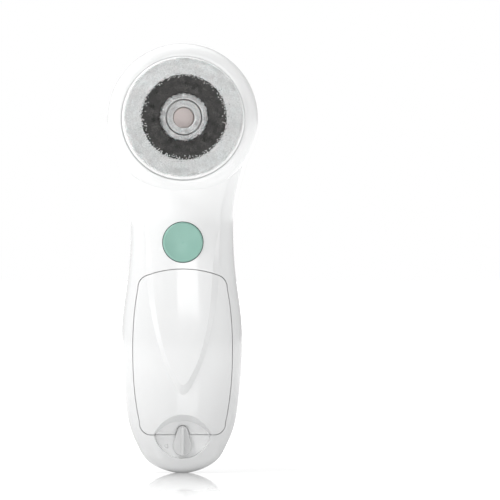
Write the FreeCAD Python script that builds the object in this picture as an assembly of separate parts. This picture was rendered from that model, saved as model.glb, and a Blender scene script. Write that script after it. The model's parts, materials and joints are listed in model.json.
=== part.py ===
"""A battery-powered facial cleansing brush. Millimetres, +Z up the handle, bristles facing -Y."""
import FreeCAD, Part
import math
import os

V = FreeCAD.Vector

# ---- driving dimensions -------------------------------------------------------------------------
WALL = 2.2                  # moulded shell thickness
SPLIT_Y = 1.0               # plane where the front and rear shells meet
ROUNDNESS = 2.3             # exponent of the handle's rounded sections
# height, half width, depth of the front, depth of the rear
HANDLE = [
    (0.0, 2.8, 2.2, 2.2),
    (0.7, 6.2, 4.4, 4.6),
    (2.7, 11.5, 7.5, 8.0),
    (6.2, 16.6, 10.2, 11.0),
    (11.7, 20.2, 12.4, 13.8),
    (20.1, 23.9, 14.3, 16.2),
    (34.0, 26.6, 15.6, 17.8),
    (55.0, 28.3, 16.4, 18.6),
    (73.5, 27.6, 16.0, 18.0),
    (91.0, 25.3, 15.2, 16.6),
    (110.0, 24.0, 14.4, 15.2),
    (125.0, 24.6, 14.4, 15.4),
    (136.0, 27.0, 15.4, 16.4),
    (146.0, 29.8, 16.4, 17.4),
    (156.0, 32.2, 16.8, 18.0),
    (165.0, 33.0, 16.8, 18.0),
]
HEAD_Z = 165.0
HEAD_R = 35.0
HEAD_FRONT, HEAD_REAR = -18.0, 19.0
FRONT_CORNER, REAR_CORNER = 6.0, 12.0
REAR_CORNER_Y = 4.0
PLATE_POCKET_R, PLATE_POCKET_DEPTH = 28.9, 0.8

GAP = 0.3                   # line between the cover and the shell
COVER_LOW, COVER_HIGH = 18.1, 95.2
COVER_HALF_W = 23.2
DECK_FRONT, DECK_REAR = -8.0, -6.0
RIB_REAR = -9.3             # the cover's rib stops just short of its seal
TONGUE_RISE = 1.2
TONGUE_HALF_W = 14.6
TONGUE_TIP_Z, TONGUE_WIDE_Z = 37.5, 77.5
TONGUE_FULLNESS = 1.5       # exponent of the pointed end's outline
BAND_SIDE, BAND_TIP = 1.3, 3.2   # how far the sloping band runs inward for each millimetre it rises
BAND_SIDE_Y, BAND_TIP_Y = -14.4, -16.0   # where it meets the handle

BUTTON_Z, BUTTON_R = 107.6, 9.3
BUTTON_FRONT = -16.2
BUTTON_DISH = 1.4
BUTTON_TRAVEL = 1.0
COLLAR_REAR = -10.9
STEM_REAR = -8.0

LOCK_Z = 12.8
LOCK_TILT = 2.0             # degrees that the recess floor leans forward
RECESS_HALF_W = 14.1
RECESS_LOW, RECESS_HIGH = 7.1, 27.2
RECESS_FLOOR_Y = -9.0       # at the low end of the recess
FLOOR_WALL = 1.8
KNOB_R, TAIL_R, TAIL_REACH = 4.4, 2.5, 9.6
KNOB_LIFT, TAIL_LIFT, KNOB_TOP, FIN_TOP = 0.3, 0.9, 2.3, 4.2
DOT_R, DOT_X, DOT_DEPTH = 1.1, 7.4, 0.55   # a ball sunk in the recess floor beside the knob
LOCK_SHAFT_R, LOCK_BORE_R = 2.35, 2.45
NOTCH_PLAY = 0.35           # room round the knob's tail in the cover's lower edge

MODULE = 0.5
PRESSURE = math.radians(20.0)
BACKLASH = 0.07
PINION_TEETH, IDLER_BIG, IDLER_SMALL, OUTPUT_TEETH = 10, 36, 12, 48
SHAFT_CENTRES = 24.0        # motor shaft to brush spindle
LAYER_B = (-13.0, -9.6)     # output gear and the idler's small gear
LAYER_A = (-9.2, -6.2)      # motor pinion and the idler's big gear
BOX_COVER = (-15.3, -13.5)
BOX_FLOOR = (-5.6, -3.6)
SPINDLE_R, RUNNING = 3.0, 0.05
SPINDLE_REAR, SPINDLE_FRONT = -0.6, -24.4
HEX_FLAT, HEX_PLAY = 5.0, 0.08

MOTOR_R, MOTOR_LENGTH = 12.2, 12.3
MOTOR_SHAFT_R = 1.0

CELL_R, CELL_LENGTH, NUB_R, NUB_LENGTH = 7.2, 49.2, 2.75, 1.3
CELL_X, CELL_Y = 7.35, 1.6
TRAY_LOW, TRAY_HIGH = 31.0, 91.0
TRAY_HALF_W, TRAY_REAR, TRAY_WALL = 16.2, 10.4, 1.2
CONTACT = 0.4

BOARD_FRONT, BOARD_REAR = -3.5, -1.9
BOARD_LOW, BOARD_HIGH, BOARD_HALF_W = 94.0, 125.0, 13.0

PLATE_R, PLATE_REAR, PLATE_FRONT = 28.4, -17.6, -23.4
BRISTLES = {                # inner radius, outer radius, tip
    "bristles_outer": (19.7, 27.4, -37.4),
    "bristles_charcoal": (11.4, 19.5, -36.8),
    "bristles_middle": (8.5, 11.2, -36.0),
    "bristles_inner": (5.1, 7.5, -35.6),
}
HUB_CAP_R, HUB_CAP_FRONT, HUB_CAP_REAR = 4.8, -25.0, -22.4

HEAD_SCREW_X = 21.5
FOOT_SCREWS = (10.0, 25.6)  # x, z
BOSS_R, SCREW_R, PILOT_PLAY = 3.2, 1.2, 0.05
DECK_BOSS_R = 2.6
BOARD_SCREWS = [(-10.2, 121.0), (10.2, 121.0), (0.0, 96.6)]
BOX_SCREWS = [(-17.0, 150.0), (-14.0, 176.5), (14.0, 176.5)]

REACH, TALL = 60.0, 210.0   # past the whole object, for cuts that go right through
THROUGH = (-20.0, 20.0)
SMALL_SCREW_R, SMALL_HOLE_R = 0.9, 1.0
AXLE_R, BUSHING_R, SEAL_R = 1.0, 5.0, 6.0
STACK = (-1.6, 5.4)         # the motor's magnets and rotor core
SEAL_STEP = HEAD_FRONT + 1.8   # where the shaft seal ends and the front bushing begins

parts = {}


# ---- plain helpers ------------------------------------------------------------------------------
def cylinder(r, y0, y1, x=0.0, z=0.0):
    """A cylinder along Y from y0 to y1."""
    low, high = sorted((y0, y1))
    return Part.makeCylinder(r, high - low, V(x, low, z), V(0, 1, 0))


def ring(outer, inner, y0, y1, x=0.0, z=0.0):
    return cylinder(outer, y0, y1, x, z).cut(cylinder(inner, y0, y1, x, z))


def box(x0, x1, y0, y1, z0, z1):
    """A block between two corners, each pair of limits given in either order."""
    (x0, x1), (y0, y1), (z0, z1) = sorted((x0, x1)), sorted((y0, y1)), sorted((z0, z1))
    return Part.makeBox(x1 - x0, y1 - y0, z1 - z0, V(x0, y0, z0))


def prism(wire, y0, y1):
    """A wire drawn in the XZ plane at y = 0, filled and stretched from y0 to y1."""
    face = Part.Face(wire)
    face.translate(V(0, y0, 0))
    return face.extrude(V(0, y1 - y0, 0))


def turned(edges, x=0.0, z=0.0):
    """A solid of revolution about the Y line through (x, z), from edges in the XY plane at z = 0."""
    face = Part.Face(Part.Wire(Part.__sortEdges__(edges)))
    solid = face.revolve(V(0, 0, 0), V(0, 1, 0), 360)
    solid.translate(V(x, 0, z))
    return solid


def line(a, b):
    return Part.LineSegment(V(*a), V(*b)).toShape()


def arc(a, middle, b):
    return Part.Arc(V(*a), V(*middle), V(*b)).toShape()


def fused(shapes):
    whole = shapes[0]
    if len(shapes) > 1:
        whole = whole.fuse(shapes[1:])
    return whole.removeSplitter()


def group(solids):
    return Part.makeCompound(solids)


# ---- the outer form -----------------------------------------------------------------------------
def slope(k, column):
    low, high = HANDLE[max(k - 1, 0)], HANDLE[min(k + 1, len(HANDLE) - 1)]
    return (high[column] - low[column]) / (high[0] - low[0])


def section(k, inset):
    """One rounded section of the handle, moved inward square to the side profile."""
    z, half_width, front, rear = HANDLE[k]
    lean = slope(k, 1)
    z += inset * lean / math.hypot(1, lean)
    half_width -= inset / math.hypot(1, lean)
    front -= inset / math.hypot(1, slope(k, 2))
    rear -= inset / math.hypot(1, slope(k, 3))
    points = []
    steps = 24
    for step in range(steps):
        angle = 2 * math.pi * (step + 0.5) / steps
        across, deep = math.cos(angle), math.sin(angle)
        depth = rear if deep > 0 else front
        x = half_width * math.copysign(abs(across) ** (2 / ROUNDNESS), across)
        y = depth * math.copysign(abs(deep) ** (2 / ROUNDNESS), deep)
        points.append(V(x, y, z))
    curve = Part.BSplineCurve()
    curve.interpolate(Points=points, PeriodicFlag=True)
    return Part.Wire([curve.toShape()])


def handle(inset):
    return Part.makeLoft([section(k, inset) for k in range(len(HANDLE))], True, False)


def head(inset):
    """The round drum: flat front, rounded rim and a domed rear."""
    radius = HEAD_R - inset
    front = HEAD_FRONT + inset
    rim_x, rim_y = HEAD_R - FRONT_CORNER, HEAD_FRONT + FRONT_CORNER
    rim_r = FRONT_CORNER - inset
    back_x, back_y = HEAD_R - REAR_CORNER, REAR_CORNER_Y
    rise = HEAD_REAR - back_y
    dome = (back_x ** 2 + rise ** 2 - REAR_CORNER ** 2) / (2 * (rise - REAR_CORNER))
    middle_y = HEAD_REAR - dome
    lean = math.atan2(back_x, back_y - middle_y)
    back_r, dome_r = REAR_CORNER - inset, dome - inset
    joint = (dome_r * math.sin(lean), middle_y + dome_r * math.cos(lean), 0)
    swing = (math.pi / 2 + lean) / 2
    half_right = math.sqrt(0.5)
    return turned([
        line((0, front, 0), (rim_x, front, 0)),
        arc((rim_x, front, 0), (rim_x + rim_r * half_right, rim_y - rim_r * half_right, 0), (radius, rim_y, 0)),
        line((radius, rim_y, 0), (radius, back_y, 0)),
        arc((radius, back_y, 0),
            (back_x + back_r * math.sin(swing), back_y + back_r * math.cos(swing), 0), joint),
        arc(joint, (dome_r * math.sin(lean / 2), middle_y + dome_r * math.cos(lean / 2), 0),
            (0, middle_y + dome_r, 0)),
        line((0, middle_y + dome_r, 0), (0, front, 0)),
    ], z=HEAD_Z)


def body(inset):
    return fused([handle(inset), head(inset)])


def tongue_wire(y):
    """The raised spine's outline where its sloping band meets the plane at depth y."""
    w = TONGUE_HALF_W - BAND_SIDE * (BAND_SIDE_Y - y)
    tip_z = TONGUE_TIP_Z + BAND_TIP * (BAND_TIP_Y - y)
    side = [(w + 5.0, 140), (w + 1.2, 125), (w - 0.6, 108), (w - 0.7, 95), (w, TONGUE_WIDE_Z)]
    for share in (0.3, 0.6, 0.85):
        z = TONGUE_WIDE_Z - share * (TONGUE_WIDE_Z - tip_z)
        side.append((w * (1 - share ** 2) ** (1 / TONGUE_FULLNESS), z))
    points = [V(x, y, z) for x, z in side] + [V(0, y, tip_z)] + [V(-x, y, z) for x, z in reversed(side)]
    curve = Part.BSplineCurve()
    curve.interpolate(points)
    return Part.Wire([curve.toShape(), line(points[-1], points[0])])


def tongue():
    """The raised spine down the front of the handle, with its sloping band all round."""
    band = Part.makeLoft([tongue_wire(-12.0), tongue_wire(-18.5)], True, True)
    return band.common(handle(-TONGUE_RISE))


def cover_wire(grow):
    """The battery cover's outline, grown by the given amount on every side."""
    middle = (COVER_LOW + COVER_HIGH) / 2
    wide = 1 + grow / COVER_HALF_W
    tall = 1 + 2 * grow / (COVER_HIGH - COVER_LOW)

    def at(x, z):
        return (x * wide, 0, middle + (z - middle) * tall)

    def edge(points):
        curve = Part.BSplineCurve()
        curve.interpolate([V(*p) for p in points])
        return curve.toShape()

    side = [(20.0, 23.8), (21.8, 34.0), (23.2, 57.0), (22.5, 74.0), (20.8, 86.0)]
    edges = [line(at(-15.6, COVER_LOW), at(15.6, COVER_LOW)),
             arc(at(-16.2, 92.4), at(0, COVER_HIGH), at(16.2, 92.4))]
    for hand in (-1, 1):
        edges.append(edge([at(hand * x, z) for x, z in side]))
        edges.append(arc(at(hand * 15.6, COVER_LOW), at(hand * 18.7, 19.9), at(hand * 20.0, 23.8)))
        edges.append(arc(at(hand * 20.8, 86.0), at(hand * 19.5, 90.2), at(hand * 16.2, 92.4)))
    return Part.Wire(Part.__sortEdges__(edges))


def recess_wire(shrink):
    """The eye-shaped outline of the lock's recess, drawn on the plane z = 0 of its own frame."""
    low, high = RECESS_LOW - LOCK_Z, RECESS_HIGH - LOCK_Z - shrink
    w, corner = RECESS_HALF_W - 0.6 * shrink, COVER_LOW - LOCK_Z
    return Part.Wire(Part.__sortEdges__([
        arc((-w, corner, 0), (0, high, 0), (w, corner, 0)),
        arc((-w, corner, 0), (0, low, 0), (w, corner, 0)),
    ]))


def on_recess(shape):
    """Moves a shape from the lock's own frame, whose z points out of the recess floor, into place."""
    pivot_y = RECESS_FLOOR_Y - (LOCK_Z - RECESS_LOW) * math.tan(math.radians(LOCK_TILT))
    moved = shape.copy()
    moved.Placement = FreeCAD.Placement(V(0, pivot_y, LOCK_Z),
                                        FreeCAD.Rotation(V(1, 0, 0), 90 + LOCK_TILT))
    return moved


def recess_pocket():
    """The recess cut: a flat leaning floor with walls that open outward at the top."""
    floor_wire = recess_wire(2.6)
    mouth = recess_wire(-1.0)
    mouth.translate(V(0, 0, 6.0))
    pocket = Part.makeLoft([floor_wire, mouth], True, True)
    return on_recess(pocket)


def recess_backing():
    """The thickness kept behind the recess floor and walls."""
    lower = recess_wire(0.8)
    lower.translate(V(0, 0, -FLOOR_WALL))
    mouth = recess_wire(-3.0)
    mouth.translate(V(0, 0, 6.0))
    return on_recess(Part.makeLoft([lower, mouth], True, True))


# ---- fasteners, gears, wires --------------------------------------------------------------------
def screw(x, z, seat_y, tip_y, head_r=2.3, head_h=1.3, shank_r=SCREW_R):
    """A pan-head screw whose head sits on seat_y and whose tip is at tip_y."""
    way = 1 if tip_y > seat_y else -1
    top = seat_y - way * head_h
    pin = fused([cylinder(head_r, top, seat_y, x, z), cylinder(shank_r, seat_y, tip_y, x, z)])
    slot_w, slot_l, slot_d = 0.5, head_r * 0.65, 0.6
    low, high = sorted((top, top + way * slot_d))
    for half_x, half_z in ((slot_w / 2, slot_l), (slot_l, slot_w / 2)):
        pin = pin.cut(box(x - half_x, x + half_x, low, high, z - half_z, z + half_z))
    return pin


def roll(angle):
    return math.tan(angle) - angle


def gear(teeth, tip_height, span, x, z, phase):
    """A spur gear with involute flanks; phase is where one tooth's middle points, in radians from +X."""
    pitch_r = MODULE * teeth / 2
    base_r = pitch_r * math.cos(PRESSURE)
    tip_r, root_r = pitch_r + tip_height, pitch_r - 1.25 * MODULE
    half_pitch_tooth = math.pi / (2 * teeth) - BACKLASH / (2 * pitch_r)
    start_r = max(base_r, root_r)
    flank = []
    steps = 4
    for step in range(steps + 1):
        r = start_r + (tip_r - start_r) * step / steps
        flank.append((r, half_pitch_tooth + roll(PRESSURE) - roll(math.acos(min(1.0, base_r / r)))))
    if root_r < base_r:
        flank.insert(0, (root_r, flank[0][1]))
    points = []
    for tooth in range(teeth):
        middle = phase + 2 * math.pi * tooth / teeth
        for r, half in flank:
            points.append((r, middle - half))
        for r, half in reversed(flank):
            points.append((r, middle + half))
    corners = [V(x + r * math.cos(a), 0, z + r * math.sin(a)) for r, a in points]
    wire = Part.makePolygon(corners + corners[:1])
    return prism(wire, *span)


def tube(points, radius):
    """A wire of straight runs joined by tangent arcs, with its bend radii worked out from the runs."""
    places = [V(*p) for p in points]
    edges = []
    last = places[0]
    for before, here, after in zip(places, places[1:], places[2:]):
        into, out = (here - before).normalize(), (after - here).normalize()
        half_turn = math.acos(max(-1.0, min(1.0, into.dot(out)))) / 2
        run = min((here - before).Length, (after - here).Length)
        bend = 0.45 * run / math.tan(half_turn)
        back = bend * math.tan(half_turn)
        a, b = here - into * back, here + out * back
        inward = (out - into).normalize()
        centre = here + inward * (bend / math.cos(half_turn))
        middle = centre - inward * bend
        edges.append(Part.LineSegment(last, a).toShape())
        edges.append(Part.Arc(a, middle, b).toShape())
        last = b
    edges.append(Part.LineSegment(last, places[-1]).toShape())
    path = Part.Wire(edges)
    profile = Part.Wire([Part.Circle(places[0], places[1] - places[0], radius).toShape()])
    solid = path.makePipeShell([profile], True, False)
    expected = math.pi * radius ** 2 * path.Length
    print("wire: volume %.1f of %.1f" % (solid.Volume, expected))
    return solid


# ---- shells and cover ---------------------------------------------------------------------------
def make_shells():
    raised = tongue()
    outer = fused([body(0), raised]).cut(recess_pocket())
    inner = body(WALL).cut(recess_backing())
    wall = outer.cut(inner)
    front_half = box(-REACH, REACH, -REACH, SPLIT_Y, -1, TALL)
    rear_half = box(-REACH, REACH, SPLIT_Y, REACH, -1, TALL)
    front, rear = wall.common(front_half), wall.common(rear_half)

    # the battery opening, its deck and the way in for the cells
    opening = prism(cover_wire(GAP / 2), -REACH, DECK_FRONT)
    front = front.cut(opening)
    deck = inner.common(prism(cover_wire(2.0), DECK_FRONT, DECK_REAR))
    window = box(-15.0, 15.0, DECK_FRONT - 1, DECK_REAR + 1, TRAY_LOW + 1.6, TRAY_HIGH - 1.6)
    collar = cylinder(11.8, COLLAR_REAR, -13.4, z=BUTTON_Z)
    lock_boss = on_recess(Part.makeCylinder(4.4, 2.4, V(0, 0, -FLOOR_WALL - 2.0)))
    additions = [deck.cut(window), collar, lock_boss]
    for hand in (-1, 1):
        additions.append(cylinder(BOSS_R, HEAD_FRONT + WALL - 0.2, SPLIT_Y, hand * HEAD_SCREW_X, HEAD_Z))
        additions.append(cylinder(DECK_BOSS_R, DECK_FRONT, SPLIT_Y, hand * FOOT_SCREWS[0], FOOT_SCREWS[1]))
    for x, z in BOARD_SCREWS:
        additions.append(cylinder(2.3, -13.5 if z > BUTTON_Z else DECK_REAR - 1, BOARD_FRONT, x, z))
    for x, z in BOX_SCREWS:
        additions.append(cylinder(2.6, HEAD_FRONT + WALL - 0.2, BOX_COVER[0], x, z))
    front = fused([front] + additions)

    cuts = [cylinder(BUTTON_R + GAP, -REACH, 0, z=BUTTON_Z),
            cylinder(7.15, HEAD_FRONT - 1, 0, z=HEAD_Z),
            cylinder(PLATE_POCKET_R, HEAD_FRONT - 1, HEAD_FRONT + PLATE_POCKET_DEPTH, z=HEAD_Z),
            on_recess(Part.makeCylinder(LOCK_BORE_R, 12, V(0, 0, -8)))]
    for hand in (-1, 1):
        for x, z, seat in ((HEAD_SCREW_X, HEAD_Z, HEAD_FRONT + 3.0),
                           (FOOT_SCREWS[0], FOOT_SCREWS[1], DECK_FRONT + 1.4)):
            cuts.append(cylinder(2.5, -REACH, seat, hand * x, z))
            cuts.append(cylinder(SCREW_R + 0.2, seat - 1, SPLIT_Y + 1, hand * x, z))
    for x, z in BOARD_SCREWS:
        cuts.append(cylinder(SMALL_SCREW_R + PILOT_PLAY, -9.0, BOARD_FRONT + 1, x, z))
    for x, z in BOX_SCREWS:
        cuts.append(cylinder(SMALL_SCREW_R + PILOT_PLAY, -16.2, BOX_COVER[0] + 1, x, z))
    for cut in cuts:
        front = front.cut(cut)
    dot = on_recess(Part.makeSphere(DOT_R, V(-DOT_X, 0, -DOT_DEPTH)))
    front = front.fuse(dot.common(front_half))

    # rear shell with its pillars
    pillars = []
    for hand in (-1, 1):
        for x, z in ((HEAD_SCREW_X, HEAD_Z), FOOT_SCREWS):
            pillars.append(cylinder(BOSS_R if x > 15 else DECK_BOSS_R, SPLIT_Y, 30, hand * x, z))
    rear = fused([rear] + [p.common(body(WALL / 2)) for p in pillars])
    for hand in (-1, 1):
        for x, z in ((HEAD_SCREW_X, HEAD_Z), FOOT_SCREWS):
            rear = rear.cut(cylinder(SCREW_R + PILOT_PLAY, SPLIT_Y - 1, 10.0, hand * x, z))

    # a rubber cord in a groove half in each shell
    groove = body(0.8).cut(body(1.5)).common(box(-REACH, REACH, SPLIT_Y - 0.6, SPLIT_Y + 0.6, -1, TALL))
    parts["shell_seal"] = groove
    parts["front_shell"] = front.cut(groove)
    parts["rear_shell"] = rear.cut(groove)

    make_cover(outer, inner)


def make_cover(outer, inner):
    wall = outer.cut(inner)
    cover = wall.common(prism(cover_wire(-GAP / 2), -REACH, DECK_FRONT - GAP))
    rib = prism(cover_wire(-3.4), -REACH, RIB_REAR).cut(prism(cover_wire(-4.6), -REACH - 1, RIB_REAR + 1))
    cover = fused([cover, rib.common(inner)])
    notch = on_recess(teardrop(TAIL_R + NOTCH_PLAY, KNOB_R + NOTCH_PLAY, -6.0, 8.0))
    parts["battery_cover"] = cover.cut(notch)
    seal = prism(cover_wire(-3.2), DECK_FRONT - 1.0, DECK_FRONT).cut(
        prism(cover_wire(-4.8), DECK_FRONT - 2, DECK_FRONT + 1))
    for hand in (-1, 1):
        seal = seal.cut(cylinder(2.6, DECK_FRONT - 2, DECK_FRONT + 1, hand * FOOT_SCREWS[0], FOOT_SCREWS[1]))
    # the seal stops either side of the lock's recess, whose floor lies on the deck there
    behind_recess = recess_backing()
    behind_recess.translate(V(0, GAP, 0))
    seal = seal.cut(behind_recess)
    parts["cover_seal"] = max(seal.Solids, key=lambda piece: piece.Volume)


def make_shell_screws():
    screws = []
    for hand in (-1, 1):
        screws.append(screw(hand * HEAD_SCREW_X, HEAD_Z, HEAD_FRONT + 3.0, 9.5))
        screws.append(screw(hand * FOOT_SCREWS[0], FOOT_SCREWS[1], DECK_FRONT + 1.4, 9.5))
    parts["shell_screws"] = group(screws)


# ---- power button and electronics ---------------------------------------------------------------
def make_button():
    """A cap with a shallow round dish, a skirt, a flange that stops it behind the collar, and a stem."""
    groove_y = -12.2
    rim = 0.8
    dish_r = BUTTON_R - rim
    ball = (dish_r ** 2 + BUTTON_DISH ** 2) / (2 * BUTTON_DISH)
    dish_low = BUTTON_FRONT + BUTTON_DISH
    dish_middle = dish_low - ball + math.sqrt(ball ** 2 - (dish_r / 2) ** 2)
    cap = turned([
        line((0, dish_low, 0), (0, STEM_REAR, 0)),
        line((0, STEM_REAR, 0), (3.0, STEM_REAR, 0)),
        line((3.0, STEM_REAR, 0), (3.0, -9.4, 0)),
        line((3.0, -9.4, 0), (10.9, -9.4, 0)),
        line((10.9, -9.4, 0), (10.9, COLLAR_REAR + GAP, 0)),
        line((10.9, COLLAR_REAR + GAP, 0), (BUTTON_R, COLLAR_REAR + GAP, 0)),
        line((BUTTON_R, COLLAR_REAR + GAP, 0), (BUTTON_R, BUTTON_FRONT + rim, 0)),
        arc((BUTTON_R, BUTTON_FRONT + rim, 0),
            (BUTTON_R - 0.3 * rim, BUTTON_FRONT + 0.25 * rim, 0), (dish_r, BUTTON_FRONT, 0)),
        arc((dish_r, BUTTON_FRONT, 0), (dish_r / 2, dish_middle, 0), (0, dish_low, 0)),
    ], z=BUTTON_Z)
    cap = cap.cut(ring(BUTTON_R + 1, BUTTON_R - 1.25, groove_y - 0.8, groove_y + 0.8, z=BUTTON_Z))
    parts["power_button"] = cap
    seal_r = 0.75
    o_ring = Part.makeTorus(BUTTON_R + GAP - RUNNING - seal_r, seal_r, V(0, groove_y, BUTTON_Z), V(0, 1, 0))
    parts["button_o_ring"] = o_ring


def make_electronics():
    board = box(-BOARD_HALF_W, BOARD_HALF_W, BOARD_FRONT, BOARD_REAR, BOARD_LOW, BOARD_HIGH)
    for x, z in BOARD_SCREWS:
        board = board.cut(cylinder(1.1, -10, 10, x, z))
    parts["circuit_board"] = board
    parts["board_screws"] = group([screw(x, z, BOARD_REAR, -7.5, 1.8, 1.0, SMALL_SCREW_R) for x, z in BOARD_SCREWS])

    case = box(-3.0, 3.0, BOARD_FRONT - 3.5, BOARD_FRONT, BUTTON_Z - 3.0, BUTTON_Z + 3.0)
    parts["push_switch"] = case.cut(cylinder(1.8, -REACH, BOARD_FRONT - 0.8, z=BUTTON_Z))
    parts["switch_plunger"] = cylinder(1.7, STEM_REAR + 0.1, BOARD_FRONT - 1.0 - BUTTON_TRAVEL, z=BUTTON_Z)

    can = Part.makeCylinder(2.5, 5.5, V(-7.5, BOARD_REAR, 108.5), V(0, 1, 0))
    chip = box(1.5, 6.5, BOARD_REAR, BOARD_REAR + 1.6, 106.0, 112.0)
    driver = box(-2.0, 1.0, BOARD_REAR, BOARD_REAR + 1.1, 115.0, 117.6)
    resistors = [box(x, x + 1.6, BOARD_REAR, BOARD_REAR + 0.6, 102.0, 102.8) for x in (-3.0, 0.0, 3.0)]
    parts["board_components"] = group([can, chip, driver] + resistors)


# ---- batteries ----------------------------------------------------------------------------------
def cell(x, low_z, up):
    """One AA cell standing at low_z, with its button end up or down."""
    body_low = low_z if up else low_z + NUB_LENGTH
    can = Part.makeCylinder(CELL_R, CELL_LENGTH, V(x, CELL_Y, body_low))
    can = can.makeFillet(0.6, [e for e in can.Edges if isinstance(e.Curve, Part.Circle)])
    nub_low = body_low + CELL_LENGTH if up else low_z
    return fused([can, Part.makeCylinder(NUB_R, NUB_LENGTH, V(x, CELL_Y, nub_low))])


def bow_spring(x, plate_z, cell_z):
    """A bent strip that stands on a contact plate and presses on the flat end of a cell."""
    foot, thick, half_wide = 5.0, 0.4, 3.0
    inner = cell_z - math.copysign(thick, cell_z - plate_z)
    strip = Part.Face(Part.Wire(Part.__sortEdges__([
        arc((x, CELL_Y - foot, plate_z), (x, CELL_Y, cell_z), (x, CELL_Y + foot, plate_z)),
        line((x, CELL_Y + foot, plate_z), (x, CELL_Y + foot - thick, plate_z)),
        arc((x, CELL_Y - foot + thick, plate_z), (x, CELL_Y, inner), (x, CELL_Y + foot - thick, plate_z)),
        line((x, CELL_Y - foot, plate_z), (x, CELL_Y - foot + thick, plate_z)),
    ])))
    strip.translate(V(-half_wide, 0, 0))
    return strip.extrude(V(2 * half_wide, 0, 0))


def make_battery_bay():
    w, wall = TRAY_HALF_W, TRAY_WALL
    tray = box(-w, w, DECK_REAR, TRAY_REAR, TRAY_LOW, TRAY_HIGH)
    tray = tray.cut(box(wall - w, w - wall, DECK_REAR - 1, TRAY_REAR - wall, TRAY_LOW + wall, TRAY_HIGH - wall))
    ends = wall + CONTACT
    keel = box(-0.6, 0.6, TRAY_REAR - wall - 3.0, TRAY_REAR - wall, TRAY_LOW + ends, TRAY_HIGH - ends)
    cradle = [Part.makeCylinder(CELL_R + 0.05, 80, V(x, CELL_Y, TRAY_LOW - 5)) for x in (-CELL_X, CELL_X)]
    for bore in cradle:
        keel = keel.cut(bore)
    parts["battery_tray"] = fused([tray, keel])

    low, high = TRAY_LOW + wall, TRAY_HIGH - wall
    cells_low, cells_high = low + CONTACT, high - CONTACT
    parts["battery_left"] = cell(-CELL_X, cells_high - NUB_LENGTH - CELL_LENGTH, True)
    parts["battery_right"] = cell(CELL_X, cells_low, False)
    gap = cells_high - cells_low - CELL_LENGTH - NUB_LENGTH
    parts["contact_springs"] = group([bow_spring(-CELL_X, cells_low, cells_low + gap),
                                      bow_spring(CELL_X, cells_high, cells_high - gap)])
    half_w, half_gap, half_d = 13.0, 1.6, 5.5
    plates = [box(-half_w, half_w, CELL_Y - half_d, CELL_Y + half_d, low, cells_low)]
    for hand in (-1, 1):
        plates.append(box(hand * half_gap, hand * half_w, CELL_Y - half_d, CELL_Y + half_d, cells_high, high))
    parts["contact_plates"] = group(plates)


def make_wires():
    lead_r = 0.6
    for colour, hand in (("red", 1), ("black", -1)):
        x = hand * 9.5
        parts["battery_lead_" + colour] = tube([(x, 3.6, TRAY_HIGH), (x, 3.6, 98.0), (x, BOARD_REAR, 98.0)], lead_r)
        x = hand * 5.0
        parts["motor_lead_" + colour] = tube(
            [(x, BOARD_REAR, 121.0), (x, 11.0, 121.0), (x, 11.0, MOTOR_Z - 5.0), (x, MOTOR_REAR + 0.4, MOTOR_Z - 5.0)],
            lead_r)


# ---- motor --------------------------------------------------------------------------------------
MOTOR_Z = HEAD_Z - SHAFT_CENTRES
MOTOR_FRONT = BOX_FLOOR[1]
MOTOR_REAR = MOTOR_FRONT + MOTOR_LENGTH


def idler_place():
    """Where the idler's axle sits, so that both meshes keep their centre distance."""
    to_motor = MODULE * (PINION_TEETH + IDLER_BIG) / 2
    to_spindle = MODULE * (IDLER_SMALL + OUTPUT_TEETH) / 2
    up = (to_motor ** 2 - to_spindle ** 2 + SHAFT_CENTRES ** 2) / (2 * SHAFT_CENTRES)
    return math.sqrt(to_motor ** 2 - up ** 2), MOTOR_Z + up


IDLER_X, IDLER_Z = idler_place()


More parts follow.
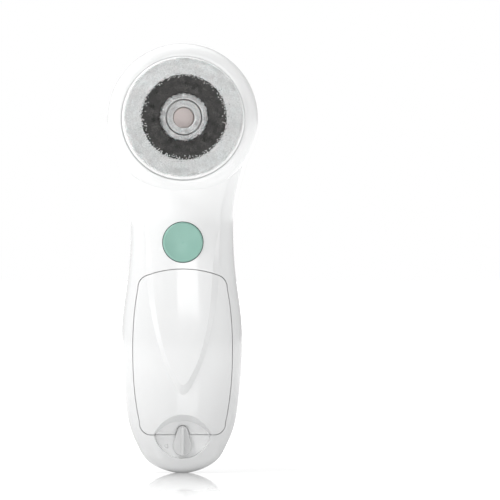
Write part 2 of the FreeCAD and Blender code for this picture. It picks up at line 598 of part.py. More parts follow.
def make_motor():
    shell_t, cap_t = 0.7, 1.4
    can = cylinder(MOTOR_R, MOTOR_FRONT, MOTOR_REAR - cap_t, z=MOTOR_Z)
    can = can.cut(cylinder(MOTOR_R - shell_t, MOTOR_FRONT + shell_t, MOTOR_REAR, z=MOTOR_Z))
    can = fused([can, cylinder(3.0, BOX_FLOOR[0] + 0.4, MOTOR_FRONT + shell_t, z=MOTOR_Z)])
    can = can.cut(cylinder(MOTOR_SHAFT_R + RUNNING, *THROUGH, z=MOTOR_Z))
    for x, z in motor_screw_places():
        can = can.cut(cylinder(SMALL_SCREW_R + PILOT_PLAY, -REACH, 0, x, z))
    parts["motor_can"] = can

    cap = fused([cylinder(MOTOR_R, MOTOR_REAR - cap_t, MOTOR_REAR, z=MOTOR_Z),
                 cylinder(2.8, MOTOR_REAR - cap_t, MOTOR_REAR + 0.8, z=MOTOR_Z)])
    cap = cap.cut(cylinder(MOTOR_SHAFT_R + RUNNING, *THROUGH, z=MOTOR_Z))
    tabs = [box(x - 1.3, x + 1.3, MOTOR_REAR, MOTOR_REAR + 0.4, MOTOR_Z - 6.5, MOTOR_Z - 3.6) for x in (-5, 5)]
    parts["motor_end_cap"] = group([cap] + tabs)

    outer_r, inner_r = MOTOR_R - shell_t - 0.05, 9.6
    sleeve = ring(outer_r, inner_r, *STACK, z=MOTOR_Z)
    sides = [box(4.0, 14.0, -2, 6, MOTOR_Z - 14, MOTOR_Z + 14), box(-14.0, -4.0, -2, 6, MOTOR_Z - 14, MOTOR_Z + 14)]
    parts["motor_magnets"] = group([sleeve.common(side) for side in sides])

    parts["motor_shaft"] = cylinder(MOTOR_SHAFT_R, LAYER_A[0] - 0.4, MOTOR_REAR + 1.0, z=MOTOR_Z)
    pieces = [cylinder(3.0, *STACK, z=MOTOR_Z), cylinder(2.2, STACK[1], STACK[1] + 1.5, z=MOTOR_Z)]
    for pole in range(3):
        angle = math.radians(90 + 120 * pole)
        blade = box(2.0, 8.0, -1.0, 4.6, -1.2, 1.2)
        shoe = ring(9.0, 7.4, -1.0, 4.6).common(box(5.0, 10.0, -2, 6, -6.5, 6.5))
        coil = box(3.4, 7.0, -1.5, 5.1, -2.3, 2.3)
        for piece in (blade, shoe, coil):
            piece.rotate(V(0, 0, 0), V(0, 1, 0), -math.degrees(angle))
            piece.translate(V(0, 0, MOTOR_Z))
            pieces.append(piece)
    parts["motor_rotor"] = fused(pieces).cut(cylinder(MOTOR_SHAFT_R, *THROUGH, z=MOTOR_Z))
    toward = math.atan2(IDLER_Z - MOTOR_Z, IDLER_X)
    pinion = gear(PINION_TEETH, MODULE, LAYER_A, 0, MOTOR_Z, toward + math.pi / PINION_TEETH)
    parts["motor_pinion"] = pinion.cut(cylinder(MOTOR_SHAFT_R, *THROUGH, z=MOTOR_Z))
    parts["motor_screws"] = group([screw(x, z, BOX_FLOOR[0], MOTOR_FRONT + 0.6, 1.6, 0.5, SMALL_SCREW_R)
                                   for x, z in motor_screw_places()])


def motor_screw_places():
    """Two screws either side of the shaft, on the line square to the idler."""
    across = V(IDLER_X, 0, IDLER_Z - MOTOR_Z).normalize()
    reach = 8.6
    return [(-across.z * reach, MOTOR_Z + across.x * reach), (across.z * reach, MOTOR_Z - across.x * reach)]


# ---- gearbox ------------------------------------------------------------------------------------
def box_outline(grow, y0, y1):
    return fused([cylinder(14.4 + grow, y0, y1, z=HEAD_Z),
                  cylinder(11.0 + grow, y0, y1, IDLER_X, IDLER_Z),
                  cylinder(5.1 + grow, y0, y1, z=MOTOR_Z)])


def make_gearbox():
    """A cup round the gears with a seat for the motor behind it, and its lid."""
    wall = 1.5
    seat_y = BOX_FLOOR[1] - 3.0
    lugs = [cylinder(3.0, seat_y, BOX_COVER[1], x, z) for x, z in BOX_SCREWS]
    links = [box(0, x, seat_y, BOX_COVER[1], z - 1.2, z + 1.2) for x, z in BOX_SCREWS]
    hollow = box_outline(0, BOX_FLOOR[0], BOX_COVER[1])
    motor_seat = [cylinder(MOTOR_R + 1.4, *BOX_FLOOR, z=MOTOR_Z),
                  ring(MOTOR_R + 1.4, MOTOR_R + 0.1, BOX_FLOOR[1], BOX_FLOOR[1] + 3.5, z=MOTOR_Z)]
    base = fused([box_outline(wall, BOX_FLOOR[1], BOX_COVER[1]), *lugs, *links, *motor_seat,
                  cylinder(BUSHING_R + 1.6, BOX_FLOOR[0], STACK[0], z=HEAD_Z)])
    base = base.cut(hollow.cut(fused([cylinder(3.0, -REACH, 0, x, z) for x, z in BOX_SCREWS])))
    base = base.cut(cylinder(3.1, *THROUGH, z=MOTOR_Z))
    base = base.cut(cylinder(BUSHING_R, *THROUGH, z=HEAD_Z))
    base = base.cut(cylinder(AXLE_R, BOX_FLOOR[0] - 1, BOX_FLOOR[1] - 0.4, IDLER_X, IDLER_Z))
    for x, z in motor_screw_places():
        base = base.cut(cylinder(SMALL_HOLE_R, *THROUGH, x, z))
    cover = fused([box_outline(wall, *BOX_COVER), cylinder(7.0, HEAD_FRONT + 0.4, BOX_COVER[1], z=HEAD_Z)] +
                  [cylinder(3.0, *BOX_COVER, x, z) for x, z in BOX_SCREWS] +
                  [box(0, x, *BOX_COVER, z - 1.2, z + 1.2) for x, z in BOX_SCREWS])
    cover = cover.cut(cylinder(BUSHING_R, -REACH, 0, z=HEAD_Z))
    cover = cover.cut(cylinder(SEAL_R, -REACH, SEAL_STEP, z=HEAD_Z))
    cover = cover.cut(cylinder(AXLE_R, BOX_COVER[0] + 0.5, 0, IDLER_X, IDLER_Z))
    for x, z in BOX_SCREWS:
        base = base.cut(cylinder(SMALL_HOLE_R, *THROUGH, x, z))
        cover = cover.cut(cylinder(SMALL_HOLE_R, *THROUGH, x, z))
    parts["gearbox_base"] = base
    parts["gearbox_cover"] = cover
    parts["gearbox_screws"] = group([screw(x, z, seat_y, -16.0, 2.0, 1.0, SMALL_SCREW_R)
                                     for x, z in BOX_SCREWS])
    parts["gear_axle"] = cylinder(AXLE_R, BOX_COVER[0] + 0.5, BOX_FLOOR[1] - 0.4, IDLER_X, IDLER_Z)

    to_motor = math.atan2(MOTOR_Z - IDLER_Z, -IDLER_X)
    to_spindle = math.atan2(HEAD_Z - IDLER_Z, -IDLER_X)
    low_tip = 0.6 * MODULE
    big = gear(IDLER_BIG, low_tip, LAYER_A, IDLER_X, IDLER_Z, to_motor)
    small = gear(IDLER_SMALL, MODULE, LAYER_B, IDLER_X, IDLER_Z, to_spindle + math.pi / IDLER_SMALL)
    hub = cylinder(2.3, LAYER_B[0], LAYER_A[1] + 0.3, IDLER_X, IDLER_Z)
    idler = fused([big, small, hub]).cut(cylinder(AXLE_R + RUNNING, *THROUGH, IDLER_X, IDLER_Z))
    parts["compound_gear"] = idler

    output = gear(OUTPUT_TEETH, low_tip, LAYER_B, 0, HEAD_Z, to_spindle + math.pi)
    for hole in range(6):
        angle = math.radians(60 * hole)
        output = output.cut(cylinder(2.2, -REACH, 0, 7.6 * math.cos(angle), HEAD_Z + 7.6 * math.sin(angle)))
    output = fused([output, cylinder(4.6, LAYER_B[1], -6.2, z=HEAD_Z)])
    parts["output_gear"] = output.cut(cylinder(SPINDLE_R, *THROUGH, z=HEAD_Z))


def hexagon(flats, y0, y1, z):
    corner = flats / math.sqrt(3)
    points = [V(corner * math.cos(math.radians(60 * k)), 0, z + corner * math.sin(math.radians(60 * k)))
              for k in range(7)]
    return prism(Part.makePolygon(points), y0, y1)


def make_spindle():
    shaft = fused([cylinder(SPINDLE_R, HEAD_FRONT + 0.1, SPINDLE_REAR, z=HEAD_Z),
                   hexagon(HEX_FLAT, SPINDLE_FRONT, HEAD_FRONT + 0.1, HEAD_Z)])
    shaft = shaft.cut(ring(6.0, 2.4, -1.5, -1.0, z=HEAD_Z))
    parts["drive_spindle"] = shaft
    clip = ring(4.6, 2.45, -1.45, -1.05, z=HEAD_Z).cut(box(-1.4, 1.4, -3, 0, HEAD_Z, HEAD_Z + 8))
    parts["spindle_clip"] = clip
    parts["bushing_rear"] = ring(BUSHING_R, SPINDLE_R + RUNNING, BOX_FLOOR[0], STACK[0], z=HEAD_Z)
    parts["bushing_front"] = ring(BUSHING_R, SPINDLE_R + RUNNING, SEAL_STEP, BOX_COVER[1], z=HEAD_Z)
    parts["shaft_seal"] = ring(SEAL_R, SPINDLE_R + RUNNING, HEAD_FRONT + 0.5, SEAL_STEP, z=HEAD_Z)


# ---- lock ---------------------------------------------------------------------------------------
def teardrop(r_small, r_big, z0, z1):
    """Two circles joined by their common tangents, standing on the recess floor's own frame."""
    reach = TAIL_REACH - TAIL_R
    sine = (r_big - r_small) / reach
    cosine = math.sqrt(1 - sine ** 2)
    a, b = (r_big * cosine, r_big * sine, 0), (r_small * cosine, reach + r_small * sine, 0)
    mirror = [(-a[0], a[1], 0), (-b[0], b[1], 0)]
    wire = Part.Wire(Part.__sortEdges__([
        line(a, b), line(*mirror),
        arc(b, (0, reach + r_small, 0), mirror[1]),
        arc(a, (0, -r_big, 0), mirror[0]),
    ]))
    face = Part.Face(wire)
    face.translate(V(0, 0, z0))
    return face.extrude(V(0, 0, z1 - z0))


def make_lock():
    top = teardrop(TAIL_R, KNOB_R, TAIL_LIFT, KNOB_TOP)
    rim = [e for e in top.Edges if e.BoundBox.ZMin > KNOB_TOP - 0.01]
    top = top.makeFillet(0.6, rim)
    base = Part.makeCylinder(KNOB_R, TAIL_LIFT - KNOB_LIFT + 0.2, V(0, 0, KNOB_LIFT))
    fin_half = 0.7
    fin = Part.makeBox(2 * fin_half, TAIL_REACH + KNOB_R - 0.8, FIN_TOP - KNOB_LIFT - 1.0,
                       V(-fin_half, 0.4 - KNOB_R, KNOB_LIFT + 1.0))
    upright = [e for e in fin.Edges if e.BoundBox.ZLength > 1.0]
    fin = fin.makeFillet(fin_half * 0.95, upright)
    crown = [e for e in fin.Edges if e.BoundBox.ZMin > FIN_TOP - 0.01]
    fin = fin.makeFillet(0.35, crown)
    groove_low, shaft_end, key_end = -3.0, -5.2, -6.2
    key_w, key_h, cam_r, head_h = 3.0, 1.0, 3.2, 1.1
    shaft = Part.makeCylinder(LOCK_SHAFT_R, KNOB_LIFT + 1.0 - shaft_end, V(0, 0, shaft_end))
    groove = Part.makeCylinder(LOCK_SHAFT_R + 1, 1.1, V(0, 0, groove_low)).cut(
        Part.makeCylinder(1.45, 1.1, V(0, 0, groove_low)))
    key = Part.makeBox(key_w, key_w, key_h, V(-key_w / 2, -key_w / 2, key_end))
    knob = fused([top, base, fin, shaft, key]).cut(groove)
    knob = knob.cut(Part.makeCylinder(SMALL_SCREW_R, 3.3, V(0, 0, key_end)))
    parts["lock_knob"] = on_recess(knob)
    parts["lock_o_ring"] = on_recess(Part.makeTorus(1.95, 0.45, V(0, 0, groove_low + 0.55)))
    parts["lock_cam"] = on_recess(Part.makeCylinder(cam_r, key_h, V(0, 1.0, key_end)).cut(key))
    pin = Part.makeCylinder(2.2, head_h, V(0, 0, key_end - head_h)).fuse(
        Part.makeCylinder(SMALL_SCREW_R, 3.2, V(0, 0, key_end)))
    pin = pin.cut(Part.makeBox(3.0, 0.5, 0.6, V(-1.5, -0.25, key_end - head_h)))
    parts["lock_screw"] = on_recess(pin)


# ---- brush head ---------------------------------------------------------------------------------
def make_brush():
    plate = turned([
        line((0, PLATE_REAR - 1.2, 0), (8.0, PLATE_REAR - 1.2, 0)),
        line((8.0, PLATE_REAR - 1.2, 0), (8.0, PLATE_REAR, 0)),
        line((8.0, PLATE_REAR, 0), (PLATE_R - 0.6, PLATE_REAR, 0)),
        line((PLATE_R - 0.6, PLATE_REAR, 0), (PLATE_R, PLATE_REAR - 0.6, 0)),
        line((PLATE_R, PLATE_REAR - 0.6, 0), (PLATE_R, PLATE_FRONT + 1.0, 0)),
        arc((PLATE_R, PLATE_FRONT + 1.0, 0), (PLATE_R - 0.3, PLATE_FRONT + 0.3, 0), (PLATE_R - 1.0, PLATE_FRONT, 0)),
        line((PLATE_R - 1.0, PLATE_FRONT, 0), (HUB_CAP_R + 0.1, PLATE_FRONT, 0)),
        line((HUB_CAP_R + 0.1, PLATE_FRONT, 0), (HUB_CAP_R + 0.1, HUB_CAP_REAR, 0)),
        line((HUB_CAP_R + 0.1, HUB_CAP_REAR, 0), (0, HUB_CAP_REAR, 0)),
        line((0, HUB_CAP_REAR, 0), (0, PLATE_REAR - 1.2, 0)),
    ], z=HEAD_Z)
    parts["brush_plate"] = plate.cut(hexagon(HEX_FLAT + 2 * HEX_PLAY, -REACH, 0, HEAD_Z))
    cap = turned([
        line((0, HUB_CAP_REAR, 0), (HUB_CAP_R, HUB_CAP_REAR, 0)),
        line((HUB_CAP_R, HUB_CAP_REAR, 0), (HUB_CAP_R, HUB_CAP_FRONT + 0.5, 0)),
        arc((HUB_CAP_R, HUB_CAP_FRONT + 0.5, 0), (HUB_CAP_R - 0.15, HUB_CAP_FRONT + 0.15, 0),
            (HUB_CAP_R - 0.5, HUB_CAP_FRONT, 0)),
        line((HUB_CAP_R - 0.5, HUB_CAP_FRONT, 0), (0, HUB_CAP_FRONT, 0)),
        line((0, HUB_CAP_FRONT, 0), (0, HUB_CAP_REAR, 0)),
    ], z=HEAD_Z)
    socket = hexagon(HEX_FLAT + 2 * HEX_PLAY, SPINDLE_FRONT - 0.1, 0, HEAD_Z)
    parts["hub_cap"] = cap.cut(socket)
    for name, (inner, outer, tip) in BRISTLES.items():
        parts[name] = ring(outer, inner, tip, PLATE_FRONT, z=HEAD_Z)


# ---- write --------------------------------------------------------------------------------------
def main():
    make_shells()
    make_shell_screws()
    make_button()
    make_electronics()
    make_battery_bay()
    make_motor()
    make_wires()
    make_gearbox()
    make_spindle()
    make_lock()
    make_brush()
    os.makedirs("parts", exist_ok=True)
    for name, shape in parts.items():
        bounds = shape.BoundBox
        print("%-20s solids %d valid %s volume %9.2f  x %.1f..%.1f y %.1f..%.1f z %.1f..%.1f" % (
            name, len(shape.Solids), shape.isValid(), shape.Volume, bounds.XMin, bounds.XMax,
            bounds.YMin, bounds.YMax, bounds.ZMin, bounds.ZMax))
        shape.exportStep("parts/%s.step" % name)


main()
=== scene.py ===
"""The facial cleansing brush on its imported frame: real bristles, moulded plastics, a plain white studio."""
import json
import math

import bpy
import numpy as np
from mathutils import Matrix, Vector


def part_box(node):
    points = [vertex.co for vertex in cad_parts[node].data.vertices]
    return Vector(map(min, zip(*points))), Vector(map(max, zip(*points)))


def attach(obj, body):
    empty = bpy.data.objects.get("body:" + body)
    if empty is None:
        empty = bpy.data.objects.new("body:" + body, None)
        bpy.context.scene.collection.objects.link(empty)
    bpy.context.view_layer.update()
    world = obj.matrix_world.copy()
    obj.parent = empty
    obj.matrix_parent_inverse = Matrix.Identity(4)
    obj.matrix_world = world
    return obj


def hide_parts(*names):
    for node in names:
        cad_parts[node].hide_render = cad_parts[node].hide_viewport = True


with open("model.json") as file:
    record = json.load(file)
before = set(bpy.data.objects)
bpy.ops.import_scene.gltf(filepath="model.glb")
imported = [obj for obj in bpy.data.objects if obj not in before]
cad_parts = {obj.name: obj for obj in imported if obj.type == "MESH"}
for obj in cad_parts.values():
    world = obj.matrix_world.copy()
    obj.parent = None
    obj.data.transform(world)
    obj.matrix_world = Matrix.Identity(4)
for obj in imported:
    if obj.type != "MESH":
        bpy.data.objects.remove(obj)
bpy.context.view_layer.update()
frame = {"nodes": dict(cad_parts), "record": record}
MM = 0.001

# ---- where things are, from the frame ------------------------------------------------------------
PLATE_LOW, PLATE_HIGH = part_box("brush_plate")
BRUSH_AXIS_Z = (PLATE_LOW.z + PLATE_HIGH.z) / 2
PLATE_FRONT_Y = PLATE_LOW.y


# ---- camera and studio ---------------------------------------------------------------------------
VIEW_WIDTH = 0.2336          # what the square picture spans at the object, metres
CAMERA_DISTANCE = 2.0
CAMERA_HEIGHT = 0.104
CAMERA_TURN = math.radians(1.5)   # the camera stands a little to the left
SENSOR = 36.0
SIDE_SHIFT = 0.136           # the object stands left of the middle
CLIP_NEAR, CLIP_FAR = 0.01, 20.0

FLOOR_HALF = 12.0            # half the floor's width, metres
NEAR_GLOW, FAR_GLOW = 0.10, 1.0    # the floor's painted glow, as if lit from below like a light table, least under the object
GLOW_START, GLOW_FULL = 0.06, 0.5  # metres from the object
SIDE_GREY = 0.38             # the world's brightness all round the object
WHITE_FROM, WHITE_FULL = 0.86, 0.96   # how nearly along +Y a direction is where the world turns white

# where each square lamp stands, what it is aimed at and its width in metres, and its power in watts
LAMPS = {
    "key_left": ((-1.05, -0.7, 1.5), (0, 0, 0.1), 0.6, 16.5),
    "front_fill": ((0.2, -1.9, 0.5), (0, 0, 0.1), 0.6, 3.4),
    "top": ((-0.1, 0.3, 1.4), (0, 0.2, 0), 1.6, 8.0),
}


def make_camera():
    data = bpy.data.cameras.new("camera")
    data.sensor_width = SENSOR
    data.lens = SENSOR * CAMERA_DISTANCE / VIEW_WIDTH
    data.shift_x = SIDE_SHIFT
    data.clip_start = CLIP_NEAR
    data.clip_end = CLIP_FAR
    camera = bpy.data.objects.new("camera", data)
    camera.location = (-CAMERA_DISTANCE * math.sin(CAMERA_TURN), -CAMERA_DISTANCE * math.cos(CAMERA_TURN),
                       CAMERA_HEIGHT)
    camera.rotation_euler = (math.radians(90), 0, -CAMERA_TURN)
    bpy.context.scene.collection.objects.link(camera)
    bpy.context.scene.camera = camera


def area_light(name, place, aim, size, power):
    data = bpy.data.lights.new(name, "AREA")
    data.shape = "SQUARE"
    data.size = size
    data.energy = power
    light = bpy.data.objects.new(name, data)
    light.location = place
    light.rotation_euler = (Vector(aim) - Vector(place)).to_track_quat("-Z", "Y").to_euler()
    bpy.context.scene.collection.objects.link(light)


def mesh_object(name, vertices, faces):
    mesh = bpy.data.meshes.new(name)
    mesh.from_pydata(vertices, [], faces)
    mesh.update()
    piece = bpy.data.objects.new(name, mesh)
    bpy.context.scene.collection.objects.link(piece)
    return piece


def make_world():
    """Even grey all round, and white beyond the object's far side."""
    world = bpy.data.worlds.new("studio")
    world.use_nodes = True
    tree = world.node_tree
    where = tree.nodes.new("ShaderNodeTexCoord")
    parts = tree.nodes.new("ShaderNodeSeparateXYZ")
    tree.links.new(where.outputs["Generated"], parts.inputs["Vector"])
    ramp = tree.nodes.new("ShaderNodeValToRGB")
    ramp.color_ramp.elements[0].position = WHITE_FROM
    ramp.color_ramp.elements[0].color = (*[SIDE_GREY] * 3, 1)
    ramp.color_ramp.elements[1].position = WHITE_FULL
    ramp.color_ramp.elements[1].color = (1.0, 1.0, 1.0, 1)
    tree.links.new(parts.outputs["Y"], ramp.inputs["Fac"])
    tree.links.new(ramp.outputs["Color"], tree.nodes["Background"].inputs["Color"])
    bpy.context.scene.world = world


def make_studio():
    """A wide pale floor under soft lights."""
    corners = [(x * FLOOR_HALF, y * FLOOR_HALF, 0) for x, y in ((-1, -1), (1, -1), (1, 1), (-1, 1))]
    floor = mesh_object("studio_floor", corners, [(0, 1, 2, 3)])
    floor.data.materials.append(floor_material())
    make_world()
    for name, settings in LAMPS.items():
        area_light(name, *settings)
    bpy.context.scene.view_settings.view_transform = "Standard"


# ---- materials -----------------------------------------------------------------------------------
PATTERN_LOW, PATTERN_HIGH = 0.3, 0.7      # noise seldom leaves this range
CLOUD_SCALE = 60.0                        # the size of a surface's mottling
FILAMENT_GRAIN = 900.0
TIP_COLOUR_FROM = 0.9                     # share of a filament's length
SCATTER_RADIUS = (0.0006, 0.0005, 0.0005)     # how far light travels inside a filament, metres


def tree_of(name):
    material = bpy.data.materials.new(name)
    material.use_nodes = True
    tree = material.node_tree
    return material, tree, tree.nodes["Principled BSDF"]


def noise(tree, scale, detail=3.0, roughness=0.5):
    where = tree.nodes.new("ShaderNodeTexCoord")
    pattern = tree.nodes.new("ShaderNodeTexNoise")
    pattern.inputs["Scale"].default_value = scale
    pattern.inputs["Detail"].default_value = detail
    pattern.inputs["Roughness"].default_value = roughness
    tree.links.new(where.outputs["Object"], pattern.inputs["Vector"])
    return pattern.outputs["Fac"]


def spread(tree, value, low, high):
    """Maps a 0 to 1 pattern to a range of numbers."""
    node = tree.nodes.new("ShaderNodeMapRange")
    node.inputs["From Min"].default_value = PATTERN_LOW
    node.inputs["From Max"].default_value = PATTERN_HIGH
    node.inputs["To Min"].default_value = low
    node.inputs["To Max"].default_value = high
    tree.links.new(value, node.inputs["Value"])
    return node.outputs["Result"]


def tint(tree, value, dark, light):
    """Runs a 0 to 1 pattern between two colours."""
    ramp = tree.nodes.new("ShaderNodeValToRGB")
    ramp.color_ramp.elements[0].position = PATTERN_LOW
    ramp.color_ramp.elements[1].position = PATTERN_HIGH
    ramp.color_ramp.elements[0].color = (*dark, 1)
    ramp.color_ramp.elements[1].color = (*light, 1)
    tree.links.new(value, ramp.inputs["Fac"])
    return ramp.outputs["Color"]


def bump(tree, shader, value, strength, distance):
    node = tree.nodes.new("ShaderNodeBump")
    node.inputs["Strength"].default_value = strength
    node.inputs["Distance"].default_value = distance
    tree.links.new(value, node.inputs["Height"])
    tree.links.new(node.outputs["Normal"], shader.inputs["Normal"])


def shaded(colour, change):
    return tuple(max(0.0, min(1.0, c * change)) for c in colour)


def surface(name, colour, vary=0.03, rough=(0.3, 0.4), grain=400.0, relief=0.05, depth=0.00005, **sockets):
    """A moulded, machined or coated surface: a mottled colour, uneven gloss and a fine relief."""
    material, tree, shader = tree_of(name)
    cloud = noise(tree, CLOUD_SCALE)
    mottled = tint(tree, cloud, shaded(colour, 1 - vary), shaded(colour, 1 + vary))
    tree.links.new(mottled, shader.inputs["Base Color"])
    fine = noise(tree, grain, detail=4.0)
    tree.links.new(spread(tree, fine, *rough), shader.inputs["Roughness"])
    bump(tree, shader, fine, relief, depth)
    for socket, value in sockets.items():
        shader.inputs[socket.replace("_", " ")].default_value = value
    return material


def floor_material():
    """Pale and slightly polished, with a painted glow that grows with the distance from the object."""
    material = surface("studio_white", (0.84, 0.84, 0.84), vary=0.002, rough=(0.03, 0.05), grain=30.0,
                       relief=0.0, Specular_IOR_Level=0.4, Emission_Color=(1, 1, 1, 1))
    tree = material.node_tree
    shader = tree.nodes["Principled BSDF"]
    where = tree.nodes.new("ShaderNodeTexCoord")
    away = tree.nodes.new("ShaderNodeVectorMath")
    away.operation = "LENGTH"
    tree.links.new(where.outputs["Object"], away.inputs[0])
    glow = tree.nodes.new("ShaderNodeMapRange")
    for socket, value in zip(("From Min", "From Max", "To Min", "To Max"),
                             (GLOW_START, GLOW_FULL, NEAR_GLOW, FAR_GLOW)):
        glow.inputs[socket].default_value = value
    tree.links.new(away.outputs["Value"], glow.inputs["Value"])
    tree.links.new(glow.outputs["Result"], shader.inputs["Emission Strength"])
    return material


def filament_material(name, root, tip, rough, scatter):
    """Fine synthetic filaments, paler and a little clear at the tip; the darker colour towards the root is
    painted shade of the tuft's depth.
    """
    material, tree, shader = tree_of(name)
    along = tree.nodes.new("ShaderNodeAttribute")
    along.attribute_name = "along"
    each = tree.nodes.new("ShaderNodeAttribute")
    each.attribute_name = "shade"
    ramp = tree.nodes.new("ShaderNodeValToRGB")
    ramp.color_ramp.elements[0].color = (*root, 1)
    ramp.color_ramp.elements[1].color = (*tip, 1)
    ramp.color_ramp.elements[1].position = TIP_COLOUR_FROM
    tree.links.new(along.outputs["Fac"], ramp.inputs["Fac"])
    vary = tree.nodes.new("ShaderNodeHueSaturation")
    tree.links.new(ramp.outputs["Color"], vary.inputs["Color"])
    tree.links.new(each.outputs["Fac"], vary.inputs["Value"])
    tree.links.new(vary.outputs["Color"], shader.inputs["Base Color"])
    fine = noise(tree, FILAMENT_GRAIN)
    tree.links.new(spread(tree, fine, rough - 0.05, rough + 0.05), shader.inputs["Roughness"])
    shader.inputs["Subsurface Weight"].default_value = scatter
    shader.inputs["Subsurface Radius"].default_value = SCATTER_RADIUS
    shader.inputs["Subsurface Scale"].default_value = 1.0
    return material


WHITE_GLOSS = dict(vary=0.004, rough=(0.10, 0.15), grain=160.0, relief=0.02, Coat_Weight=0.4,
                   Coat_Roughness=0.05, Specular_IOR_Level=0.5)
SURFACES = {
    "gloss_white": dict(colour=(0.86, 0.865, 0.865), **WHITE_GLOSS),
    # the shells' white plastic greyed for the lock knob: painted shade of its recess
    "shaded_knob_white": dict(
        colour=(0.7, 0.705, 0.705), vary=0.01, rough=(0.2, 0.28), grain=160.0, relief=0.02,
        Coat_Weight=0.3, Coat_Roughness=0.1),
    "mint": dict(colour=(0.27, 0.48, 0.41), vary=0.02, rough=(0.32, 0.4), grain=900.0, relief=0.1),
    # the hub's warm grey is painted shade: the hub sits deep in the well inside the bristle rings
    "hub_grey": dict(colour=(0.74, 0.665, 0.65), vary=0.03, rough=(0.4, 0.5), grain=900.0, relief=0.1),
    "seal_rubber": dict(colour=(0.42, 0.44, 0.44), rough=(0.55, 0.7), grain=1500.0, relief=0.2),
    "dark_rubber": dict(colour=(0.02, 0.02, 0.02), rough=(0.5, 0.65), grain=1500.0, relief=0.2),
    "inner_white": dict(colour=(0.74, 0.74, 0.73), rough=(0.4, 0.5), grain=700.0, relief=0.1),
    "acetal": dict(colour=(0.8, 0.78, 0.7), rough=(0.3, 0.4), grain=700.0, relief=0.05),
    "steel": dict(colour=(0.55, 0.55, 0.56), rough=(0.25, 0.4), grain=1200.0, Metallic=1.0),
    "spring_steel": dict(colour=(0.7, 0.7, 0.71), rough=(0.12, 0.25), grain=900.0, Metallic=1.0),
    "bronze": dict(colour=(0.5, 0.33, 0.16), rough=(0.35, 0.5), grain=1600.0, relief=0.2, Metallic=1.0),
    "circuit_green": dict(colour=(0.02, 0.13, 0.07), vary=0.1, rough=(0.2, 0.35), grain=500.0),
    "black_plastic": dict(colour=(0.02, 0.02, 0.02), rough=(0.35, 0.5), grain=1500.0, relief=0.15),
    "cell": dict(colour=(0.06, 0.07, 0.09), rough=(0.15, 0.25), grain=300.0, Metallic=0.4),
    "copper": dict(colour=(0.55, 0.22, 0.1), rough=(0.25, 0.4), grain=2500.0, relief=0.3, Metallic=1.0),
    "ferrite": dict(colour=(0.03, 0.03, 0.03), rough=(0.6, 0.8), grain=2000.0, relief=0.3),
    "lead_red": dict(colour=(0.35, 0.01, 0.01), rough=(0.4, 0.5), grain=900.0),
    "lead_black": dict(colour=(0.01, 0.01, 0.01), rough=(0.4, 0.5), grain=900.0),
}
# the colour at a filament's root, darker as painted shade of the tuft's depth, and at its tip, its roughness and
# how much light goes through it
FILAMENTS = {
    "brush_white": ((0.93, 0.92, 0.91), (0.97, 0.96, 0.955), 0.45, 0.8),
    "brush_charcoal": ((0.02, 0.02, 0.02), (0.085, 0.083, 0.08), 0.5, 0.0),
}


def make_materials():
    materials = {name: surface(name, **look) for name, look in SURFACES.items()}
    materials.update({name: filament_material(name, *look) for name, look in FILAMENTS.items()})
    return materials


def dress_cad_nodes(materials):
    """Each CAD node wears its own slot's material, and the lock knob a greyer white than the shells: painted
    shade of the recess it sits in.
    """
    slots = {s["node"]: s["material_slot"] for s in frame["record"]["subparts"]}
    # the knob's greyer white is painted shade of its recess
    slots["lock_knob"] = "shaded_knob_white"
    for name, node in frame["nodes"].items():
        node.data.materials.clear()
        node.data.materials.append(materials[slots[name]])


# ---- bristles ------------------------------------------------------------------------------------
# Lengths in this section are millimetres. thick is half a filament's width. splay is a tuft's spread at its
# tips, as a share of a row's width. stray, uneven and mottle are the scatter of tip places, of lengths and of
# brightness. A ring's core starts at its inner radius, ends core_reach past the outer one and stays
# core_depth below the tips. overhang is how far tips may pass the inner and the outer edge.
RINGS = {
    "bristles_outer": dict(
        slot="brush_white", inner=19.7, pitch=1.75, filaments=28, thick=0.22, splay=0.46, stray=0.3,
        uneven=0.3, mottle=0.08, core_reach=-0.5, core_depth=1.1, overhang=(2.4, -0.05)),
    "bristles_charcoal": dict(
        slot="brush_charcoal", inner=11.4, pitch=1.7, filaments=28, thick=0.18, splay=0.42, stray=0.5,
        uneven=0.3, mottle=0.35, core_reach=0.0, core_depth=1.1, overhang=(0.5, 2.4)),
    "bristles_middle": dict(
        slot="brush_white", inner=8.5, pitch=2.3, filaments=68, thick=0.17, splay=0.47, stray=0.12,
        uneven=0.35, mottle=0.12, core_reach=-0.7, core_depth=2.2, overhang=(0.5, 0.7)),
    "bristles_inner": dict(
        slot="brush_white", inner=5.1, pitch=1.9, filaments=50, thick=0.17, splay=0.45, stray=0.12,
        uneven=0.3, mottle=0.1, core_reach=0.3, core_depth=2.6, overhang=(0.2, 0.5)),
}
# the charcoal and the outer white ring run into each other: tips this near to that border stray this much
LOOSE_BORDER = RINGS["bristles_outer"]["inner"]
LOOSE_REACH, LOOSE_STRAY = 2.6, 0.95

ROOT_SPREAD = 0.42                        # a tuft's spread at its roots, as a share of a row's width
LEAN = 0.12                               # scatter of whole tufts
GOLDEN_ANGLE = math.pi * (3 - math.sqrt(5))
SHADE_LOW, SHADE_HIGH = 0.85, 1.1         # brightness of single filaments

SIDES = 4
LEVELS = [(0.0, 1.0), (0.6, 0.97), (0.994, 0.9)]     # share of a filament's length, share of its thickness
BOW = 0.12                                # scatter of how far a filament bends aside

CORE_TURNS, CORE_ACROSS = 180, 7          # the core's points round it and across its top
CORE_LUMPS = 0.03                         # scatter of the height of its top
CORE_ALONG, CORE_SHADE = 0.75, 0.85       # the core is coloured like filaments at this share of their length, and CORE_SHADE darkens it further: painted shade of the tuft's depth


